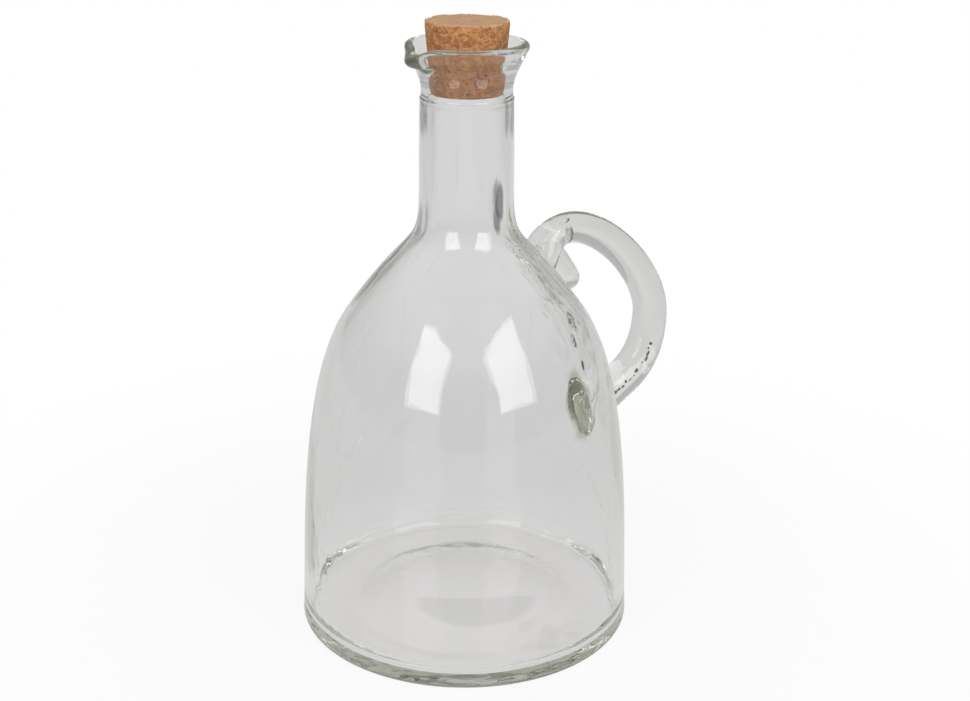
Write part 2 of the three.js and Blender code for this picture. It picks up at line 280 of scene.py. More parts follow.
class StageSizes(bpy.types.PropertyGroup):
    """Camera, lights and floor."""

    camera_turn: angle("Camera turn", -34.0, "Where the camera stands round the bottle's axis")
    camera_distance: length("Camera distance", 500.9, "How far the camera is from the axis, level")
    camera_height: length("Camera height", 289.0, "Height of the camera")
    camera_pitch: angle("Camera pitch", 20.6, "How far the camera looks down")
    camera_yaw: angle("Camera yaw", 0.78, "How far the camera looks to the right of the axis")
    camera_roll: angle("Camera roll", 0.55, "Roll of the camera")
    focal: number("Focal length", 56.2, "Focal length in millimetres on a sensor 36 mm wide")
    left_turn: angle("Left softbox turn", -34.0, "How far the left softbox stands beside the camera")
    left_width: length("Left softbox width", 580.0, "Width of the left softbox")
    right_turn: angle("Right softbox turn", 41.5, "How far the right softbox stands beside the camera")
    right_width: length("Right softbox width", 660.0, "Width of the right softbox")
    box_rise: angle("Softbox rise", 29.0, "How high each softbox stands")
    box_distance: length("Softbox distance", 1200.0, "How far each softbox is from the bottle")
    box_height: length("Softbox height", 870.0, "Height of each softbox")
    box_glow: number("Softbox glow", 8.7, "Power of a softbox in watts for each square metre of it")
    room_light: number("Room light", 0.50, "Brightness of the room round the object")
    backdrop: number("Backdrop", 0.73, "Brightness of the floor seen in and through the glass")
    wall: number("Wall", 0.45, "Brightness of the walls seen in and through the glass")
    ceiling: number("Ceiling", 0.95, "Brightness of the ceiling seen in and through the glass")
    sheet_width: length("Sheet width", 240.0, "Half the width of the brightest strip of the floor")
    floor_radius: length("Floor radius", 4000.0, "Radius of the floor")


# Node trees


def pick(sockets, key):
    """A node's socket by its place, its identifier or its name."""
    if isinstance(key, int):
        return sockets[key]
    for socket in sockets:
        if socket.identifier == key:
            return socket
    return next(socket for socket in sockets if socket.name == key and socket.enabled)


def adding(operation, reflected=False):
    """An operator of a wire that adds a Math node."""

    def operator(self, other):
        return self.tree.math(operation, other, self) if reflected else self.tree.math(operation, self, other)

    return operator


class Wire:
    """A node's output. Sums of wires and numbers add Math nodes."""

    __add__ = adding("ADD")
    __radd__ = adding("ADD", reflected=True)
    __sub__ = adding("SUBTRACT")
    __rsub__ = adding("SUBTRACT", reflected=True)
    __mul__ = adding("MULTIPLY")
    __rmul__ = adding("MULTIPLY", reflected=True)
    __truediv__ = adding("DIVIDE")
    __rtruediv__ = adding("DIVIDE", reflected=True)
    __pow__ = adding("POWER")
    __mod__ = adding("MODULO")
    __gt__ = adding("GREATER_THAN")

    def __init__(self, tree, socket):
        self.tree = tree
        self.socket = socket

    def out(self, name):
        """Another output of the same node."""
        return Wire(self.tree, pick(self.socket.node.outputs, name))


class NodeTree:
    """A node tree while it is wired."""

    def __init__(self, tree):
        self.tree = tree
        tree.nodes.clear()

    def node(self, kind, settings=None, feeds=None, out=0):
        """A new node: its settings first, then its inputs' values or wires. Gives one of its outputs."""
        made = self.tree.nodes.new(kind)
        for name, setting in (settings or {}).items():
            setattr(made, name, setting)
        for key, feed in (feeds or {}).items():
            socket = pick(made.inputs, key)
            if isinstance(feed, Wire):
                self.tree.links.new(feed.socket, socket)
            else:
                socket.default_value = feed
        return Wire(self, pick(made.outputs, out)) if made.outputs else made

    def math(self, operation, *terms):
        return self.node("ShaderNodeMath", {"operation": operation}, dict(enumerate(terms)))

    def smooth(self, value, low, high):
        """0 below low and 1 above high, with a smooth climb between."""
        limits = {"Value": value, "From Min": low, "From Max": high}
        return self.node("ShaderNodeMapRange", {"interpolation_type": "SMOOTHSTEP"}, limits)

    def mixed(self, share, first, second):
        """A colour between two others."""
        feeds = {"Factor_Float": share, "A_Color": first, "B_Color": second}
        return self.node("ShaderNodeMix", {"data_type": "RGBA"}, feeds, "Result_Color")

    def vector(self, operation, *terms, out="Vector"):
        return self.node("ShaderNodeVectorMath", {"operation": operation}, dict(enumerate(terms)), out)

    def scaled(self, vector, factor):
        """A vector times a value."""
        return self.node("ShaderNodeVectorMath", {"operation": "SCALE"}, {"Vector": vector, "Scale": factor})

    def part(self, vector, name):
        """One of a vector's three values. The others are had from it by name."""
        return self.node("ShaderNodeSeparateXYZ", None, {"Vector": vector}, name)

    def noise(self, place, scale, detail=2.0, seed=None, out=0):
        """Noise at a place, picked by a seed where there is one."""
        feeds = {"Vector": place, "Scale": scale, "Detail": detail}
        if seed is None:
            return self.node("ShaderNodeTexNoise", None, feeds, out)
        return self.node("ShaderNodeTexNoise", {"noise_dimensions": "4D"}, {**feeds, "W": seed}, out)


class Rule(NodeTree):
    """A Geometry Nodes tree with named inputs, which ends in a realized mesh with its material."""

    kinds = {int: "NodeSocketInt", float: "NodeSocketFloat"}

    def __init__(self, name, values, material):
        tree = bpy.data.node_groups.new(name, "GeometryNodeTree")
        super().__init__(tree)
        self.values = values
        self.material = material
        tree.interface.new_socket("Geometry", in_out="INPUT", socket_type="NodeSocketGeometry")
        for label, value in values.items():
            tree.interface.new_socket(label, in_out="INPUT", socket_type=self.kinds[type(value)])
        tree.interface.new_socket("Geometry", in_out="OUTPUT", socket_type="NodeSocketGeometry")
        self.inlet = self.node("NodeGroupInput", out="Geometry")

    def size(self, label):
        return self.inlet.out(label)

    def named(self, name, kind="FLOAT"):
        """The value of that name on each point."""
        return self.node("GeometryNodeInputNamedAttribute", {"data_type": kind}, {"Name": name})

    def here(self):
        """The place of each point."""
        return self.node("GeometryNodeInputPosition")

    def rolled(self, steps):
        """A sheet to roll up from the row of points that comes in, its turns, and a look-up on the row."""
        row = self.inlet
        kind = {"component": "MESH"}
        points = self.node("GeometryNodeAttributeDomainSize", kind, {"Geometry": row}, "Point Count")
        counts = {"Vertices X": steps + 1, "Vertices Y": points}
        sheet = self.node("GeometryNodeMeshGrid", None, counts, "Mesh")
        index = self.node("GeometryNodeInputIndex")
        point = index % points
        turn = self.math("FLOOR", index / points) * (2 * math.pi / steps)

        def on_row(field, kind="FLOAT"):
            feeds = {"Geometry": row, "Value": field, "Index": point}
            return self.node("GeometryNodeSampleIndex", {"data_type": kind, "domain": "POINT"}, feeds)

        return sheet, turn, on_row

    def closed(self, sheet, place):
        """The sheet in its place, with the edges that meet merged."""
        moved = self.node("GeometryNodeSetPosition", None, {"Geometry": sheet, "Position": place})
        return self.node("GeometryNodeMergeByDistance", None, {"Geometry": moved, "Distance": MERGE_DISTANCE})

    def finish(self, geometry):
        smooth = self.node("GeometryNodeSetShadeSmooth", None, {"Geometry": geometry})
        real = self.node("GeometryNodeRealizeInstances", None, {"Geometry": smooth})
        feeds = {"Geometry": real, "Material": self.material}
        dressed = self.node("GeometryNodeSetMaterial", None, feeds)
        self.node("NodeGroupOutput", None, {"Geometry": dressed})

    def bake(self, obj):
        """Runs the tree on an object, whose mesh then is the plain result."""
        modifier = obj.modifiers.new(self.tree.name, "NODES")
        modifier.node_group = self.tree
        for item in self.tree.interface.items_tree:
            if item.in_out == "INPUT" and item.name in self.values:
                modifier[item.identifier] = self.values[item.name]
        keep_result(obj)
        obj.data.materials.clear()
        obj.data.materials.append(self.material)


def keep_result(obj):
    """Makes what an object's modifiers give its own plain mesh."""
    depsgraph = bpy.context.evaluated_depsgraph_get()
    result = bpy.data.meshes.new_from_object(obj.evaluated_get(depsgraph), depsgraph=depsgraph)
    obj.modifiers.clear()
    obj.data = result


def inputs_from(sizes, *labels):
    """Inputs of a rule that bear the names of a group's sizes."""
    return {label: getattr(sizes, label.lower().replace(" ", "_")) for label in labels}


# Curves and lines


def leaning(start, distance, lean):
    """A point at a distance from another, along a line that leans inwards from straight up."""
    return start + distance * np.array((-math.sin(lean), math.cos(lean)))


def rising(start, distance, rise):
    """A point at a distance from another, along a line that rises outwards."""
    return start + distance * np.array((math.cos(rise), math.sin(rise)))


def along(pulls, shares):
    """Places on a Bezier curve at shares of its run."""
    layers = [np.outer(np.ones_like(shares), pull) for pull in pulls]
    while len(layers) > 1:
        layers = [near + (far - near) * shares[:, None] for near, far in zip(layers, layers[1:])]
    return layers[0]


def sideways(pulls, shares):
    """Directions square to a Bezier curve, to its right."""
    forward = along(np.diff(np.array(pulls), axis=0), shares)
    forward /= np.linalg.norm(forward, axis=1, keepdims=True)
    return np.stack((forward[:, 1], -forward[:, 0]), axis=1)


def beside(pulls, shares, distance):
    """Places at a distance to the right of a Bezier curve."""
    return along(pulls, shares) + distance * sideways(pulls, shares)


def arc(centre, wide, high, start, end, steps):
    """Places on part of an ellipse."""
    turn = np.linspace(start, end, steps + 1)
    return np.array(centre) + np.stack((wide * np.cos(turn), high * np.sin(turn)), axis=1)


def straight(start, end, steps):
    """Places on a straight line."""
    return along((np.array(start), np.array(end)), np.linspace(0, 1, steps + 1))


def smoothstep(value, low, high):
    share = np.clip((value - low) / (high - low), 0, 1)
    return share * share * (3 - 2 * share)


def upright(places):
    """Places of an outline, in the upright plane of the handle."""
    return np.stack((places[:, 0], np.zeros(len(places)), places[:, 1]), axis=1)


def line_object(name, places, **attributes):
    """An object whose mesh is a row of points, with values on them."""
    mesh = bpy.data.meshes.new(name)
    mesh.from_pydata([tuple(place) for place in places], [], [])
    for key, values in attributes.items():
        wide = np.ndim(values) == 2
        layer = mesh.attributes.new(key, "FLOAT_VECTOR" if wide else "FLOAT", "POINT")
        layer.data.foreach_set("vector" if wide else "value", np.ravel(values).astype(np.float32))
    obj = bpy.data.objects.new(name, mesh)
    bpy.context.scene.collection.objects.link(obj)
    return obj


# Outline of the glass


def glass_shape(sizes):
    """Curves, levels and radii of the glass that its pieces share."""
    heel = np.array((sizes.body_radius, sizes.heel_radius))
    shoulder = np.array((sizes.shoulder_radius, sizes.shoulder_height))
    neck = np.array((sizes.neck_radius, sizes.neck_foot))
    neck_top = sizes.neck_radius - sizes.neck_taper
    throat = neck_top - sizes.throat_inset
    body = (
        heel,
        leaning(heel, sizes.body_arm, sizes.body_lean),
        leaning(shoulder, -sizes.shoulder_arm_below, sizes.shoulder_lean),
        shoulder,
    )
    sweep = (
        shoulder,
        leaning(shoulder, sizes.shoulder_arm_above, sizes.shoulder_lean),
        leaning(neck, -sizes.neck_arm, 0),
        neck,
    )
    return SimpleNamespace(
        body=body,
        sweep=sweep,
        shoulder=shoulder,
        neck_top=neck_top,
        throat=throat,
        bore=throat - sizes.throat_wall,
        throat_level=sizes.ring_height + sizes.ring_width,
        rim=throat + sizes.flare_out,
    )


def on_bell(shape, level, outwards):
    """A place beside the outside of the bell at a height."""
    curve = shape.body if level < shape.shoulder[1] else shape.sweep
    shares = np.linspace(0, 1, FINE_STEPS)
    share = np.interp(level, along(curve, shares)[:, 1], shares)
    return beside(curve, np.array([share]), outwards)[0]


def on_glass(shape, turn, level, outwards):
    """A place on the glass by its degrees round the axis, its height and its distance out from the bell."""
    radius = on_bell(shape, level, outwards)[0]
    turn = math.radians(turn)
    return AXIS_X + radius * math.cos(turn), radius * math.sin(turn), level


def outer_outline(sizes, shape):
    """Underside, standing ring, heel, bell and neck, up to the top of the parting ring."""
    ring_edge = np.array((sizes.standing_ring, 0))
    underside = (np.array((0, sizes.push_up)), np.array((sizes.push_up_flat, sizes.push_up)), ring_edge)
    heel_centre = (sizes.body_radius - sizes.heel_radius, sizes.heel_radius)
    ring_centre = (shape.neck_top, sizes.ring_height + sizes.ring_width / 2)
    neck_top = np.array((shape.neck_top, sizes.ring_height))
    return np.concatenate((
        along(underside, np.linspace(0, 1, 25)),
        straight(ring_edge, (heel_centre[0], 0), 7)[1:],
        arc(heel_centre, sizes.heel_radius, sizes.heel_radius, -QUARTER, 0, 8)[1:],
        along(shape.body, np.linspace(0, 1, BELL_STEPS + 1))[1:],
        along(shape.sweep, np.linspace(0, 1, 41))[1:],
        straight(shape.sweep[-1], neck_top, 10)[1:],
        arc(ring_centre, sizes.ring_proud, sizes.ring_width / 2, -QUARTER, QUARTER, 8)[1:],
    ))


def mouth_outline(sizes, shape):
    """Throat, flare and rim outside, the rounded rim, and the flare inside down to the throat's bore."""
    foot = np.array((shape.throat, sizes.flare_foot))
    rim = np.array((shape.rim, sizes.rim_level))
    half = sizes.rim_thickness / 2
    lean = sizes.flare_lean
    flare = (foot, leaning(foot, sizes.flare_arm_low, 0), leaning(rim, -sizes.flare_arm_high, -lean), rim)
    inwards = -sideways(flare, np.array([1.0]))[0]
    rim_inside = rim + 2 * half * inwards
    bore_top = np.array((shape.bore, sizes.bore_top))
    inside = (
        rim_inside,
        leaning(rim_inside, -sizes.flare_arm_high, -lean),
        leaning(bore_top, sizes.flare_arm_low, 0),
        bore_top,
    )
    return np.concatenate((
        straight((shape.throat, shape.throat_level), foot, 3),
        along(flare, np.linspace(0, 1, 17))[1:],
        arc(rim + half * inwards, half, half, -lean, math.pi - lean, 12)[1:],
        along(inside, np.linspace(0, 1, 15))[1:],
        straight(bore_top, (shape.bore, shape.throat_level), 8)[1:],
    ))


def inner_outline(sizes, shape):
    """Inside of the neck, bell and base, from the parting ring down to the middle of the floor."""
    corner_level = sizes.base_at_wall + sizes.floor_corner
    down = np.linspace(1, 0, BELL_STEPS + 1)
    wall = np.concatenate((
        beside(shape.sweep, down[::2], -sizes.wall),
        beside(shape.body, down, -sizes.wall)[1:],
    ))
    corner_top = on_bell(shape, corner_level, -sizes.wall)
    corner_foot = np.array((corner_top[0] - sizes.floor_slope, sizes.base_at_wall))
    bend = corner_top - np.array((sizes.floor_slope / 4, sizes.floor_corner * 0.6))
    corner = (corner_top, bend, corner_foot)
    centre = np.array((0, sizes.push_up + sizes.base_at_centre))
    floor = (corner_foot, np.array((sizes.push_up_flat, centre[1])), centre)
    return np.concatenate((
        straight((shape.neck_top - sizes.wall, sizes.ring_height), wall[0], 8)[:-1],
        wall[wall[:, 1] > corner_level],
        along(corner, np.linspace(0, 1, 13)),
        along(floor, np.linspace(0, 1, 31))[1:],
    ))


# Turned glass


def turned(rule, turn, radius, level):
    """Places round the bottle's axis."""
    feeds = {
        "X": radius * rule.math("COSINE", turn) + rule.size("Axis"),
        "Y": radius * rule.math("SINE", turn),
        "Z": level,
    }
    return rule.node("ShaderNodeCombineXYZ", None, feeds)


def blown_rule(name, values, spots, material):
    """Turns a row of points round the bottle's axis, pulls the lip and makes the glass uneven."""
    rule = Rule(name, values, material)
    sheet, even_turn, on_outline = rule.rolled(rule.size("Round steps"))
    turn = even_turn - rule.math("SINE", even_turn * 2) * rule.size("Seam crowding")
    radius = rule.part(on_outline(rule.here(), "FLOAT_VECTOR"), "X")
    level = radius.out("Z")
    aside = ((turn - math.pi) / rule.size("Lip half angle")) ** 2
    climb = rule.smooth(level, rule.size("Flare foot"), rule.size("Rim level")) ** 3
    pull = climb * rule.math("EXPONENT", aside * -1) * on_outline(rule.named("give"))
    towards = (1 + rule.math("COSINE", turn - rule.size("Thin side"))) / 2
    widened = 1 + on_outline(rule.named("low")) * rule.size("Thin share") * towards ** 3
    reach = radius * widened + pull * pull * rule.size("Lip reach")
    for mark in ("ripple", "inside"):
        feeds = {"Geometry": sheet, "Name": mark, "Value": on_outline(rule.named(mark))}
        kind = {"data_type": "FLOAT", "domain": "POINT"}
        sheet = rule.node("GeometryNodeStoreNamedAttribute", kind, feeds)
    whole = rule.closed(sheet, turned(rule, turn, reach, level - pull * rule.size("Lip drop")))
    swell = rule.scaled(rule.node("GeometryNodeInputNormal"), unevenness(rule, spots))
    rule.finish(rule.node("GeometryNodeSetPosition", None, {"Geometry": whole, "Offset": swell}))
    return rule


def unevenness(rule, spots):
    """How far blown glass stands out from its plain shape: waves, the mould seam and thick spots."""
    ripple = rule.named("ripple")
    inside = rule.named("inside")
    here = rule.here()
    seed = rule.size("Seed")
    waves = 1 / rule.size("Wave length")
    long_waves = rule.noise(rule.vector("MULTIPLY", here, (1.0, 1.0, 0.5)), waves, 1.0, seed) - 0.5
    short_waves = rule.noise(here, waves * 6, 0.0, seed) - 0.5
    height = ripple * (long_waves + short_waves * ripple / rule.size("Short waves")) * 2
    across = rule.part(here, "Y")
    from_seam = across / rule.size("Seam width")
    by_handle = SEAM_AT_LIP + (1 - SEAM_AT_LIP) * rule.smooth(across.out("X"), AXIS_X, AXIS_X + SEAM_FADE)
    on_wall = rule.smooth(across.out("Z"), *SEAM_START) * rule.smooth(long_waves, -0.1, 0.2)
    on_seam = rule.math("EXPONENT", from_seam * from_seam * -1) * on_wall * by_handle
    height = height + on_seam * (inside * rule.size("Seam inside") + (ripple > 0.0) * rule.size("Seam proud"))
    for spot in spots:
        apart = rule.vector("DIVIDE", rule.vector("SUBTRACT", here, spot.place), spot.reach)
        apart_squared = rule.vector("DOT_PRODUCT", apart, apart, out="Value")
        height = height + inside * spot.swell * rule.math("EXPONENT", apart_squared * -1)
    return height


def turn_on_lathe(name, outline, steps, material):
    """A plain turned piece from its outline."""
    piece = line_object(name, upright(outline))
    rule = Rule(name, {"Round steps": steps, "Axis": AXIS_X}, material)
    sheet, turn, on_outline = rule.rolled(rule.size("Round steps"))
    radius = rule.part(on_outline(rule.here(), "FLOAT_VECTOR"), "X")
    rule.finish(rule.closed(sheet, turned(rule, turn, radius, radius.out("Z"))))
    rule.bake(piece)
    return piece


def thick_spots(sizes, handle, shape):
    """Places where the glass ran thick inside: behind and beside the handle, in the neck, on the side."""
    foot = handle.radius_foot
    neck = sizes.neck_radius
    wall = sizes.wall
    bend = handle.crest_level - handle.tail_drop / 2
    # Turn in degrees, height, half width, half height and swell
    rows = [
        (0, bend, foot * 1.2, handle.tail_drop * 0.7, sizes.press_swell),
        (0, handle.foot_level, foot * 0.75, foot * 1.9, sizes.press_swell * 0.3),
        (-78, sizes.neck_foot * 0.92, neck * 0.19, neck * 0.55, sizes.neck_swell),
        (164, sizes.neck_foot * 0.865, neck * 0.16, neck * 0.45, sizes.neck_swell * 0.6),
        (150, sizes.shoulder_height * 0.38, wall * 4, wall * 7, sizes.side_swell),
        (-38, sizes.shoulder_height * 0.58, wall * 3, wall * 6, sizes.side_swell),
    ]
    levels = np.linspace(handle.loop_level * 0.9, handle.crest_level * 1.05, sizes.ridge_spots)
    for order, level in enumerate(levels):
        turn = math.degrees(sizes.ridge_turn) * (1 + 0.3 * (-1) ** order)
        rows += [(side * turn, level, wall * 0.8, wall * 2, sizes.ridge_swell) for side in (1, -1)]
    return [
        SimpleNamespace(place=on_glass(shape, turn, level, -wall), reach=(across, across, up), swell=swell)
        for turn, level, across, up, swell in rows
    ]


def glass_outline(sizes, shape):
    """The whole outline of the bottle and, along it, waves, inside, low part inside and give of the lip."""
    outer = outer_outline(sizes, shape)
    mouth = mouth_outline(sizes, shape)
    inner = inner_outline(sizes, shape)
    outline = np.concatenate((outer, mouth, inner))
    outline[0, 0] = outline[-1, 0] = 0
    inside = np.arange(len(outline)) >= len(outer) + len(mouth)
    radius = outline[:, 0]
    level = outline[:, 1]
    corner_level = sizes.base_at_wall + sizes.floor_corner
    near_corner = np.exp(-(((level - corner_level / 2) / corner_level) ** 2))
    up_neck = smoothstep(level, sizes.neck_foot, sizes.bore_top)
    calm = smoothstep(radius, 0, sizes.standing_ring / 2) * (1 - up_neck)
    inner_wave = sizes.inner_wave + (sizes.corner_wave - sizes.inner_wave) * near_corner
    ripple = np.where(inside, inner_wave, sizes.outer_wave * smoothstep(level, 0, sizes.wall)) * calm
    on_floor = radius < np.max(radius[inside]) - sizes.floor_slope
    up_wall = smoothstep(level, sizes.base_at_wall, sizes.base_at_wall + sizes.floor_corner * 2.5)
    low = inside * np.where(on_floor & (level < corner_level * 1.05), 1, 1 - up_wall)
    rim_top = np.argmax(level)
    give = np.interp(np.arange(len(outline)), (rim_top - 6, rim_top + 6), (1, sizes.lip_give))
    return outline, {"ripple": ripple, "inside": inside, "low": low, "give": give}


# Drawn glass


def sweep_rule(name, values, material):
    """Draws an oval bar along a row of points that carry its thickness, width and outward direction."""
    rule = Rule(name, values, material)
    sheet, turn, on_path = rule.rolled(rule.size("Sides"))
    thick = on_path(rule.named("thick")) * rule.math("COSINE", turn)
    wide = on_path(rule.named("wide")) * rule.math("SINE", turn)
    outwards = rule.scaled(on_path(rule.named("outwards", "FLOAT_VECTOR"), "FLOAT_VECTOR"), thick)
    across = rule.node("ShaderNodeCombineXYZ", None, {"Y": wide})
    middle = on_path(rule.here(), "FLOAT_VECTOR")
    rule.finish(rule.closed(sheet, rule.vector("ADD", rule.vector("ADD", middle, outwards), across)))
    return rule


def draw_bar(name, places, outwards, thick, wide, sides, material):
    """A bar of glass along places in the handle's upright plane, closed at both ends."""
    path = upright(places) + (AXIS_X, 0, 0)
    out = upright(outwards)
    ends = ((1, 1), (0, 0))
    path = np.pad(path, ends, "edge")
    out = np.pad(out, ends, "edge")
    obj = line_object(name, path, outwards=out, thick=np.pad(thick, 1), wide=np.pad(wide, 1))
    sweep_rule(name, {"Sides": sides}, material).bake(obj)
    return obj


def loop_path(sizes, shape, body_radius):
    """The loop's places, directions square to it, distances along it and the distance to its side."""
    crest = on_bell(shape, sizes.crest_level, 0)
    foot = on_bell(shape, sizes.foot_level, 0)
    side = np.array((body_radius + sizes.loop_reach, sizes.loop_level))
    arm = np.array((0, sizes.loop_arm))
    start = rising(crest, -sizes.press_depth, sizes.crest_rise)
    end = rising(foot, -sizes.press_depth, sizes.foot_rise)
    upper = (crest, rising(crest, sizes.crest_arm, sizes.crest_rise), side + arm, side)
    lower = (side, side - arm, rising(foot, sizes.foot_arm, sizes.foot_rise), foot)
    runs = (
        ((start, crest), PRESS_STEPS),
        (upper, LOOP_STEPS),
        (lower, LOOP_STEPS),
        ((foot, end), PRESS_STEPS),
    )
    places = []
    outwards = []
    for pulls, steps in runs:
        shares = np.linspace(0, 1, steps + 1)[1 if places else 0 :]
        places.append(along(pulls, shares))
        outwards.append(sideways(pulls, shares))
    places = np.concatenate(places)
    travelled = np.concatenate(([0], np.cumsum(np.linalg.norm(np.diff(places, axis=0), axis=1))))
    return places, np.concatenate(outwards), travelled, travelled[PRESS_STEPS + LOOP_STEPS]


def draw_loop(sizes, shape, body_radius, material):
    """The rod of the handle, wider where it is pressed on, with a foot that runs up and down the wall."""
    places, outwards, travelled, to_side = loop_path(sizes, shape, body_radius)
    whole = travelled[-1]
    radii = (sizes.radius_top, sizes.radius_side, sizes.radius_foot)
    radius = np.interp(travelled, (0, to_side, whole), radii)
    pressed = sizes.press_depth + sizes.press_length
    surface = whole - sizes.press_depth
    at_crest = 1 - smoothstep(travelled, sizes.press_depth, pressed)
    at_foot = smoothstep(travelled, whole - pressed, surface)
    at_wall = smoothstep(travelled, surface - sizes.press_length / 2, surface)
    spread = sizes.crest_spread * at_crest + sizes.foot_spread * at_foot
    thick = radius + spread / 4 + sizes.foot_run * at_wall
    return draw_bar("loop", places, outwards, thick, radius + spread, sizes.sides, material)


def draw_tail(sizes, shape, material):
    """The rod's end, folded back down the shoulder and rounded to a knob."""
    start = on_bell(shape, sizes.crest_level, sizes.tail_radius - sizes.tail_sink)
    middle = on_bell(shape, sizes.crest_level - sizes.tail_drop / 2, sizes.tail_radius - sizes.tail_sink)
    end = on_bell(shape, sizes.crest_level - sizes.tail_drop, sizes.knob_radius - sizes.tail_sink)
    pulls = (start, 2 * middle - (start + end) / 2, end)
    run = np.linalg.norm(end - start)
    round_from = 1 - sizes.knob_radius / run
    shares = np.concatenate((np.linspace(0, round_from, 17), round_from + (1 - round_from) * arc_shares(13)))
    rounding = np.clip((shares - round_from) / (1 - round_from), 0, 1)
    radius = np.interp(shares, (0, 1), (sizes.tail_radius, sizes.knob_radius)) * np.sqrt(1 - rounding**2)
    places = along(pulls, shares)
    return draw_bar("tail", places, sideways(pulls, shares), radius, radius, sizes.sides, material)


def pocket_rule(name, values, material):
    """Puts a long ball at each point of a row that carries its run and its half sizes."""
    rule = Rule(name, values, material)
    ball = rule.node("GeometryNodeMeshIcoSphere", None, {"Subdivisions": rule.size("Fineness")}, "Mesh")
    run = rule.named("run", "FLOAT_VECTOR")
    half = rule.named("half", "FLOAT_VECTOR")
    rotation = rule.node("FunctionNodeAlignRotationToVector", {"axis": "Z"}, {"Vector": run})
    feeds = {"Points": rule.inlet, "Instance": ball, "Rotation": rotation, "Scale": half}
    rule.finish(rule.node("GeometryNodeInstanceOnPoints", None, feeds))
    return rule


def shape_pockets(sizes, shape, body_radius, material):
    """What is cut out of the handle: a row of tool marks low on the loop, whose faces get painted shade, and
    air in its fold.
    """
    places, outwards, travelled, to_side = loop_path(sizes, shape, body_radius)
    low = travelled > to_side
    ends = np.interp((-sizes.marks_top, -sizes.marks_foot), -places[low, 1], travelled[low])
    stations = np.linspace(*ends, sizes.marks)
    lines = (*places.T, *outwards.T)
    away, level, out_away, out_up = (np.interp(stations, travelled, line) for line in lines)
    luck = np.random.default_rng(sizes.seed).uniform(*MARK_SIZES, (3, sizes.marks))
    radius = np.interp(level, (sizes.foot_level, sizes.loop_level), (sizes.radius_foot, sizes.radius_side))
    turn = MARK_TURN + luck[2] * MARK_SCATTER
    out = radius * np.cos(turn)
    spots = (AXIS_X + away + out * out_away, -radius * np.sin(turn), level + out * out_up)
    runs = (out_up, np.zeros(sizes.marks), -out_away)
    wide = luck[1] * sizes.mark_width / 2
    halves = (wide, wide, luck[0] * sizes.mark_length / 2)
    rows = [np.stack(row, axis=1) for row in (spots, runs, halves)]
    crest = on_bell(shape, sizes.crest_level, 0)
    knob = on_bell(shape, sizes.crest_level - sizes.tail_drop, sizes.knob_radius)
    starts = {"crest": (crest[0] + AXIS_X, 0, crest[1]), "knob": (knob[0] + AXIS_X, 0, knob[1])}
    fold = [
        (starts[end] + np.array(way) * MM, run, np.array(half) * MM)
        for end, way, run, half in FOLD_POCKETS
    ]
    spots, runs, halves = (np.concatenate((row, more)) for row, more in zip(rows, zip(*fold)))
    # Only the tool marks carry the mark that paints shade on their faces
    mark = np.arange(len(spots)) < sizes.marks
    pockets = line_object("pockets", spots, run=runs, half=halves, mark=mark)
    pocket_rule("pockets", {"Fineness": 3}, material).bake(pockets)
    return pockets


def arc_shares(steps):
    """Shares from 0 to just under 1 that are close together where a rounded end closes."""
    return np.sin(np.linspace(0, math.pi / 2, steps + 1))[1:-1]


def combine(obj, other, operation):
    """Joins another piece to one, or cuts it away, and removes the other."""
    modifier = obj.modifiers.new(operation.lower(), "BOOLEAN")
    modifier.operation = operation
    modifier.solver = "MANIFOLD"
    modifier.object = other
    keep_result(obj)
    bpy.data.objects.remove(other)


# Finishes


def new_material(name):
    material = bpy.data.materials.new(name)
    material.use_nodes = True
    return material, NodeTree(material.node_tree)


def plain(shade):
    return (*shade, 1.0)


def painted_shade_patches(finish, sizes, handle, shape):
    """Places where shade is painted on the glass: the handle's foot, streaks in the neck, strips below the
    ring, the lip.
    """
    foot = handle.radius_foot
    neck = sizes.neck_radius
    bottom = sizes.neck_foot
    ring = sizes.ring_height
    core = -sizes.wall / 2
    skin = sizes.wall / 3
    lip = (AXIS_X - shape.rim - sizes.lip_reach / 2, 0, sizes.rim_level - sizes.lip_drop)
    # Place, half width, half height, share at which the edge starts to fade, and tint of the painted shade
    rows = (
        # Painted shade where the handle's foot meets the body
        (on_glass(shape, 0, handle.foot_level, core), foot, foot * 1.9, 0.85, finish.foot_painted_shade),
        # Painted shade: a dark streak and a faint one in the neck
        (on_glass(shape, -80, bottom * 0.92, core), neck * 0.15, neck * 0.78, 0.8, finish.cord_painted_shade),
        (on_glass(shape, 166, bottom * 0.865, core), neck * 0.2, neck * 0.6, 0.45, finish.streak_painted_shade),
        # Painted shade: strips at the sides of the neck below the parting ring
        (on_glass(shape, 170, ring - neck * 0.3, skin), neck * 0.24, neck * 0.7, 0.5, finish.collar_painted_shade),
        (on_glass(shape, -52, ring - neck * 0.25, skin), neck * 0.22, neck * 0.5, 0.5, finish.collar_painted_shade),
        # Painted shade on the pulled lip
        (lip, sizes.lip_width * 0.75, sizes.lip_drop * 2.2, 0.5, finish.lip_painted_shade),
    )
    return [
        SimpleNamespace(place=place, reach=(across, across, up), edge=edge, tint=tint)
        for place, across, up, edge, tint in rows
    ]


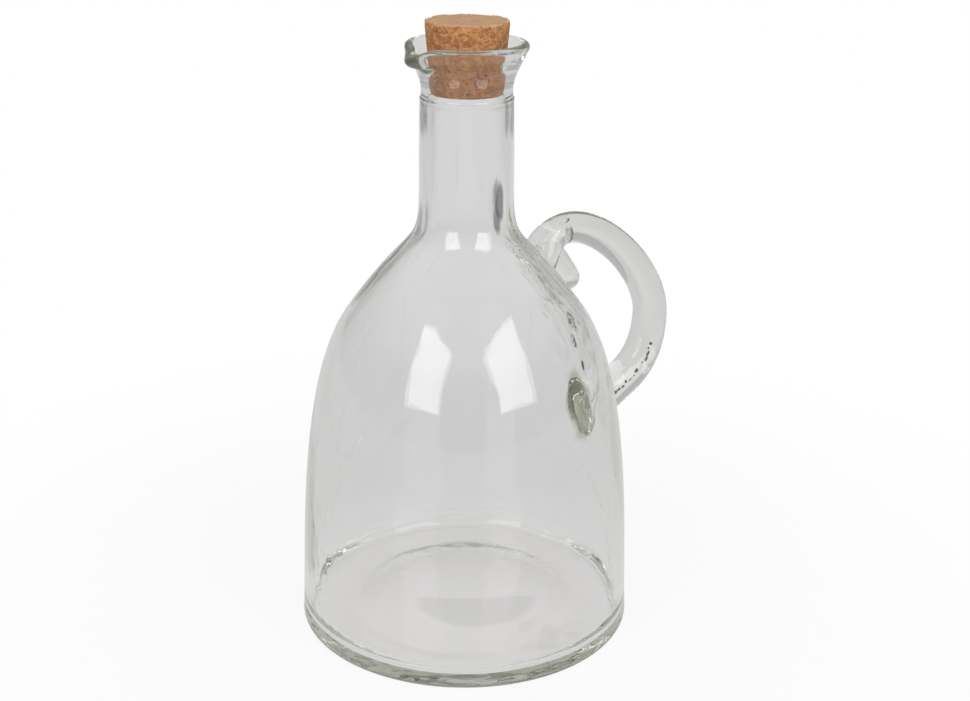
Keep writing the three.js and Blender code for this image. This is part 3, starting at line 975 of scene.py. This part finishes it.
def glass_material(finish, patches):
    """Clear blown glass: faint waves, a grey-green depth, dull spots, patches of painted shade and painted
    shade on the tool marks.
    """
    material, tree = new_material("blown_glass")
    place = tree.node("ShaderNodeTexCoord", out="Object")
    drift = tree.vector("SUBTRACT", tree.noise(place, PATCH_NOISE, 1.0, out="Color"), (0.5, 0.5, 0.5))
    # The glass's tint, with painted shade mixed in at each patch
    clear = plain(finish.glass)
    for patch in patches:
        bent = tree.vector("ADD", place, tree.vector("MULTIPLY", drift, patch.reach))
        apart = tree.vector("DIVIDE", tree.vector("SUBTRACT", bent, patch.place), patch.reach)
        within = 1 - tree.smooth(tree.vector("LENGTH", apart, out="Value"), patch.edge, 1.05)
        clear = tree.mixed(within, clear, plain(patch.tint))
    # Faces of the tool marks: near-black painted shade
    mark = tree.node("ShaderNodeAttribute", {"attribute_name": "mark"}, out="Fac")
    waves = {"Height": tree.noise(place, WAVE_NOISE), "Strength": 0.05, "Distance": MM}
    handled = tree.smooth(tree.noise(place, HANDLING_NOISE, 4.0), 0.55, 0.8)
    feeds = {
        "Base Color": tree.mixed(mark, clear, plain(finish.tool_mark_painted_shade)),
        "Roughness": handled * 0.03,
        "IOR": 1.52,
        "Transmission Weight": 1.0,
        "Normal": tree.node("ShaderNodeBump", None, waves),
    }
    surface = tree.node("ShaderNodeBsdfPrincipled", None, feeds)
    depth = {"Color": plain(finish.glass_depth), "Density": finish.glass_density}
    inside = tree.node("ShaderNodeVolumeAbsorption", None, depth)
    tree.node("ShaderNodeOutputMaterial", None, {"Surface": surface, "Volume": inside})
    return material


def cork_material(finish, sizes):
    """Pressed cork: granules of many browns with dark gaps, a paler cut face on top, and painted light that
    pales it where it sits in the throat.
    """
    material, tree = new_material("cork_granules")
    place = tree.node("ShaderNodeTexCoord", out="Object")
    cells = 1 / sizes.granule
    warp = tree.noise(place, cells * 0.8, out="Color")
    bent = tree.vector("ADD", place, tree.vector("MULTIPLY", warp, (sizes.granule * 0.9,) * 3))

    def grain(scale):
        chips = tree.node("ShaderNodeTexVoronoi", None, {"Vector": bent, "Scale": scale}, "Color")
        return tree.node("ShaderNodeSeparateColor", None, {"Color": chips}, "Red")

    chip = grain(cells)
    crumb = grain(cells * 2.3)
    strokes = tree.noise(tree.vector("MULTIPLY", bent, (1.0, 1.0, 3.0)), cells * 0.8, 4.0)
    mixture = tree.smooth(chip * 0.4 + crumb * 0.3 + strokes * 0.6, 0.42, 0.9)
    browns = tree.mixed(mixture, plain(finish.cork_dark), plain(finish.cork_light))
    specks = tree.noise(bent, cells * 2.0, 3.0)
    clusters = tree.noise(place, cells * 0.2)
    pits = tree.smooth(specks, 0.56, 0.68) * (0.25 + 0.75 * tree.smooth(clusters, 0.45, 0.6))
    level = tree.part(place, "Z")
    ragged = level + (strokes - 0.5) * sizes.edge * 3
    top = tree.smooth(ragged, CORK_HIGH.z - sizes.edge * 1.6, CORK_HIGH.z - sizes.edge * 0.3)
    # Painted light on the cork where it sits in the throat
    painted_light_in_throat = 1 - tree.smooth(level, BOTTLE_HIGH.z - sizes.edge * 8, BOTTLE_HIGH.z)
    browns_and_painted_light = tree.mixed(painted_light_in_throat * 0.3, browns, plain(finish.cork_seat_painted_light))
    sided = tree.mixed(top * (0.55 + clusters * 0.45), browns_and_painted_light, plain(finish.cork_top))
    shade = tree.mixed(pits * (1 - top * 0.75), sided, plain(finish.cork_gap))
    relief = {"Height": strokes + crumb * 0.3 - pits * 0.5, "Strength": 0.6, "Distance": 0.4 * MM}
    bump = tree.node("ShaderNodeBump", None, relief)
    feeds = {"Base Color": shade, "Roughness": 0.7 + strokes * 0.3, "Normal": bump}
    surface = tree.node("ShaderNodeBsdfPrincipled", None, feeds)
    tree.node("ShaderNodeOutputMaterial", None, {"Surface": surface})
    return material


# Pressed cork


def cork_rule(values, material):
    """Sinks the gaps between granules into the cork's surface and chips its top edge."""
    rule = Rule("cork_granules", values, material)
    place = rule.here()
    granule = rule.size("Granule")
    seed = rule.size("Seed")
    cells = 1 / granule
    warp = rule.noise(place, cells * 0.8, out="Color")
    bent = rule.vector("ADD", place, rule.scaled(warp, granule * 0.9))
    feeds = {"Vector": bent, "Scale": cells}
    edge = rule.node("ShaderNodeTexVoronoi", {"feature": "DISTANCE_TO_EDGE"}, feeds, "Distance")
    crumbs = rule.noise(place, cells * 1.7, 3.0, seed)
    chunks = rule.noise(place, cells * 0.4, 2.0, seed)
    sunk = (1 - rule.smooth(edge, 0.0, 0.12)) * 0.6 + rule.smooth(crumbs, 0.6, 0.75)
    from_top = rule.vector("SUBTRACT", place, (AXIS_X, 0.0, CORK_HIGH.z))
    aside = rule.vector("LENGTH", rule.vector("MULTIPLY", from_top, (1.0, 1.0, 0.0)), out="Value")
    reach = granule * 1.5
    by_side = rule.smooth(aside, rule.size("Radius") - reach, rule.size("Radius") - reach / 4)
    by_top = rule.smooth(rule.part(from_top, "Z"), reach * -1, reach / -4)
    chipped = by_side * by_top * rule.smooth(chunks, 0.42, 0.62) * rule.size("Chipping")
    lift = sunk * rule.size("Crumble") * -1 - chipped
    offset = rule.scaled(rule.node("GeometryNodeInputNormal"), lift)
    rule.finish(rule.node("GeometryNodeSetPosition", None, {"Geometry": rule.inlet, "Offset": offset}))
    return rule


def cork_outline(sizes):
    """Foot, tapered side and top of the cork."""
    top = CORK_HIGH.z
    foot = CORK_LOW.z
    top_radius = CORK_TOP_RADIUS
    foot_radius = top_radius - math.tan(sizes.taper) * (top - foot)
    edge = sizes.edge
    return np.concatenate((
        straight((0, foot), (foot_radius - edge, foot), 24),
        arc((foot_radius - edge, foot + edge), edge, edge, -QUARTER, 0, 5)[1:],
        straight((foot_radius, foot + edge), (top_radius, top - edge), 56)[1:],
        arc((top_radius - edge, top - edge), edge, edge, 0, QUARTER, 5)[1:],
        straight((top_radius - edge, top), (0, top), 32)[1:],
    ))


# Operators


class BOTTLE_OT_turn_body(bpy.types.Operator):
    """Turn the bottle's glass and pull its lip"""

    bl_idname = "bottle.turn_body"
    bl_label = "Turn the body"

    def execute(self, context):
        sizes = context.scene.bottle_body
        shape = glass_shape(sizes)
        outline, marks = glass_outline(sizes, shape)
        values = {
            "Axis": AXIS_X,
            "Lip half angle": math.asin(sizes.lip_width / 2 / shape.rim),
            "Seam crowding": SEAM_CROWDING,
            **inputs_from(sizes, "Round steps", "Lip reach", "Lip drop", "Flare foot", "Rim level"),
            **inputs_from(sizes, "Wave length", "Short waves", "Thin share", "Thin side"),
            **inputs_from(sizes, "Seam proud", "Seam inside", "Seam width", "Seed"),
        }
        handle = context.scene.bottle_handle
        finish = context.scene.bottle_finish
        glass = glass_material(finish, painted_shade_patches(finish, sizes, handle, shape))
        body = line_object("blown_bottle", upright(outline), **marks)
        blown_rule("blown_bottle", values, thick_spots(sizes, handle, shape), glass).bake(body)
        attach(body, "bottle")
        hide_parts("glass_bottle")
        return {"FINISHED"}


class BOTTLE_OT_apply_handle(bpy.types.Operator):
    """Draw the loop and its tail, and cut them to the bell"""

    bl_idname = "bottle.apply_handle"
    bl_label = "Apply the handle"

    def execute(self, context):
        body = context.scene.bottle_body
        sizes = context.scene.bottle_handle
        shape = glass_shape(body)
        glass = bpy.data.materials["blown_glass"]
        handle = draw_loop(sizes, shape, body.body_radius, glass)
        handle.name = "loop_handle"
        combine(handle, draw_tail(sizes, shape, glass), "UNION")
        shares = np.linspace(0, 1, BELL_STEPS + 1)
        bell = np.concatenate((
            np.array([(0, body.heel_radius)]),
            beside(shape.body, shares, sizes.gap),
            beside(shape.sweep, shares, sizes.gap)[1:],
            np.array([(0, body.neck_foot)]),
        ))
        combine(handle, turn_on_lathe("bell_core", bell, body.round_steps, glass), "DIFFERENCE")
        combine(handle, shape_pockets(sizes, shape, body.body_radius, glass), "DIFFERENCE")
        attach(handle, "bottle")
        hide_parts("handle")
        return {"FINISHED"}


class BOTTLE_OT_press_cork(bpy.types.Operator):
    """Turn the cork and crumble it into granules"""

    bl_idname = "bottle.press_cork"
    bl_label = "Press the cork"

    def execute(self, context):
        sizes = context.scene.bottle_cork
        finish = cork_material(context.scene.bottle_finish, sizes)
        cork = turn_on_lathe("pressed_cork", cork_outline(sizes), sizes.round_steps, finish)
        values = inputs_from(sizes, "Granule", "Crumble", "Chipping", "Seed")
        cork_rule({"Radius": CORK_TOP_RADIUS, **values}, finish).bake(cork)
        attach(cork, "stopper")
        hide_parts("cork_stopper")
        return {"FINISHED"}


class BOTTLE_OT_set_stage(bpy.types.Operator):
    """Set the floor, the room, the softboxes and the camera"""

    bl_idname = "bottle.set_stage"
    bl_label = "Set the stage"

    def execute(self, context):
        sizes = context.scene.bottle_stage
        lay_floor(sizes)
        light_room(context.scene, sizes)
        hang_softbox(sizes, sizes.left_turn, sizes.left_width)
        hang_softbox(sizes, sizes.right_turn, sizes.right_width)
        place_camera(context.scene, sizes)
        context.scene.view_settings.view_transform = "Standard"
        for kind in ("max_bounces", "glossy_bounces", "transmission_bounces"):
            setattr(context.scene.cycles, kind, LIGHT_BOUNCES)
        return {"FINISHED"}


# Stage


def seen_rays(tree):
    """1 for what the camera sees straight, and 1 for what is seen in a reflection or through glass."""
    camera = tree.node("ShaderNodeLightPath", out="Is Camera Ray")
    through = tree.math("MAXIMUM", camera.out("Is Glossy Ray"), camera.out("Is Transmission Ray"))
    return camera, through


def lay_floor(sizes):
    """A pale round floor that keeps a faint shadow near the bottle."""
    radius = sizes.floor_radius
    turns = np.linspace(0, 2 * math.pi, FLOOR_STEPS, endpoint=False)
    rim = [(radius * math.cos(turn), radius * math.sin(turn), -FLOOR_GAP) for turn in turns]
    mesh = bpy.data.meshes.new("floor")
    mesh.from_pydata(rim, [], [list(range(FLOOR_STEPS))])
    floor = bpy.data.objects.new("floor", mesh)
    bpy.context.scene.collection.objects.link(floor)
    mesh.materials.append(floor_material(sizes))


def floor_material(sizes):
    """White paper where the camera sees it, and dimmer through the glass, with painted shadow behind and
    beneath the bottle and painted shade aside.
    """
    material, tree = new_material("pale_floor")
    camera, through = seen_rays(tree)
    place = tree.node("ShaderNodeTexCoord", out="Object")
    right = (math.cos(sizes.camera_turn), math.sin(sizes.camera_turn), 0.0)
    ahead = (-right[1], right[0], 0.0)
    away = tree.vector("DISTANCE", place, (AXIS_X, 0.0, 0.0), out="Value")
    near = 1 - tree.smooth(away, *FADE.near)
    shown = camera * (1 - near * DIM.straight) + through * (1 - near * DIM.through)
    # Painted shadow behind the bottle
    behind = tree.smooth(away, *FADE.behind) * (1 - tree.smooth(away, *FADE.beyond))
    # Painted shadow beneath the push-up, a half disc
    middle = (AXIS_X + right[0] * DISC_SHIFT, right[1] * DISC_SHIFT, 0.0)
    from_middle = tree.vector("SUBTRACT", place, middle)
    far_half = tree.smooth(tree.vector("DOT_PRODUCT", from_middle, ahead, out="Value"), *FADE.half)
    outside = tree.smooth(tree.vector("LENGTH", from_middle, out="Value"), *FADE.beneath)
    beneath = (1 - outside) * (1 - far_half)
    # Painted shade aside of the brightest strip
    aside = tree.math("ABSOLUTE", tree.vector("DOT_PRODUCT", place, right, out="Value"))
    off_sheet = tree.smooth(aside, sizes.sheet_width / 2, sizes.sheet_width * 1.6)
    dim = behind * DIM.behind + beneath * DIM.beneath + off_sheet * DIM.aside
    bright = camera + through * sizes.backdrop * (1 - dim)
    paper = tree.node("ShaderNodeBsdfDiffuse", None, {"Color": (0.9, 0.9, 0.9, 1.0)})
    white = tree.node("ShaderNodeEmission", None, {"Color": bright})
    mix = tree.node("ShaderNodeMixShader", None, {0: shown, 1: paper, 2: white})
    tree.node("ShaderNodeOutputMaterial", None, {"Surface": mix})
    return material


def light_room(scene, sizes):
    """An even room, with a white backdrop where the camera sees it."""
    world = bpy.data.worlds.new("room")
    world.use_nodes = True
    scene.world = world
    tree = NodeTree(world.node_tree)
    camera, through = seen_rays(tree)
    other = 1 - tree.math("MAXIMUM", camera, through)
    direction = tree.node("ShaderNodeTexCoord", out="Generated")
    walls = sizes.wall + (sizes.ceiling - sizes.wall) * tree.smooth(tree.part(direction, "Z"), 0.3, 0.7)
    bright = camera + through * walls + other * sizes.room_light
    room = tree.node("ShaderNodeBackground", None, {"Color": bright})
    tree.node("ShaderNodeOutputWorld", None, {"Surface": room})


def hang_softbox(sizes, beside_camera, width):
    """A softbox beside the camera, turned to the bottle."""
    light = bpy.data.lights.new("softbox", "AREA")
    light.shape = "RECTANGLE"
    light.size = width
    light.size_y = sizes.box_height
    light.energy = sizes.box_glow * width * sizes.box_height
    turn = sizes.camera_turn + beside_camera
    level = math.cos(sizes.box_rise)
    away = Vector((math.sin(turn) * level, -math.cos(turn) * level, math.sin(sizes.box_rise)))
    target = Vector((AXIS_X, 0, BOTTLE_HIGH.z / 2))
    softbox = bpy.data.objects.new("softbox", light)
    softbox.location = target + away * sizes.box_distance
    softbox.rotation_euler = (-away).to_track_quat("-Z", "Y").to_euler()
    bpy.context.scene.collection.objects.link(softbox)


def place_camera(scene, sizes):
    """The camera at the photograph's viewing angle."""
    camera = bpy.data.objects.new("camera", bpy.data.cameras.new("camera"))
    camera.data.lens = sizes.focal
    camera.data.sensor_width = SENSOR_WIDTH
    back = Vector((math.sin(sizes.camera_turn), -math.cos(sizes.camera_turn), 0))
    camera.location = Vector((AXIS_X, 0, sizes.camera_height)) + back * sizes.camera_distance
    heading = Euler((math.pi / 2 - sizes.camera_pitch, 0, sizes.camera_turn - sizes.camera_yaw))
    rolled = heading.to_matrix() @ Matrix.Rotation(sizes.camera_roll, 3, "Z")
    camera.rotation_euler = rolled.to_euler()
    scene.collection.objects.link(camera)
    scene.camera = camera


# Add-on


class BOTTLE_PT_panel(bpy.types.Panel):
    """Lists the steps that make the bottle."""

    bl_label = "Glass bottle"
    bl_idname = "BOTTLE_PT_panel"
    bl_space_type = "VIEW_3D"
    bl_region_type = "UI"
    bl_category = "Bottle"

    def draw(self, context):
        for operator in OPERATORS:
            self.layout.operator(operator.bl_idname)


SETTINGS = {
    "bottle_body": BodySizes,
    "bottle_handle": HandleSizes,
    "bottle_cork": CorkSizes,
    "bottle_finish": Finish,
    "bottle_stage": StageSizes,
}
OPERATORS = (BOTTLE_OT_turn_body, BOTTLE_OT_apply_handle, BOTTLE_OT_press_cork, BOTTLE_OT_set_stage)
CLASSES = (*SETTINGS.values(), *OPERATORS, BOTTLE_PT_panel)


def register():
    for cls in CLASSES:
        bpy.utils.register_class(cls)
    for name, group in SETTINGS.items():
        setattr(bpy.types.Scene, name, bpy.props.PointerProperty(type=group))


def unregister():
    for name in SETTINGS:
        delattr(bpy.types.Scene, name)
    for cls in reversed(CLASSES):
        bpy.utils.unregister_class(cls)


def main():
    register()
    bpy.ops.bottle.turn_body()
    bpy.ops.bottle.apply_handle()
    bpy.ops.bottle.press_cork()
    bpy.ops.bottle.set_stage()


if __name__ == "__main__":
    main()
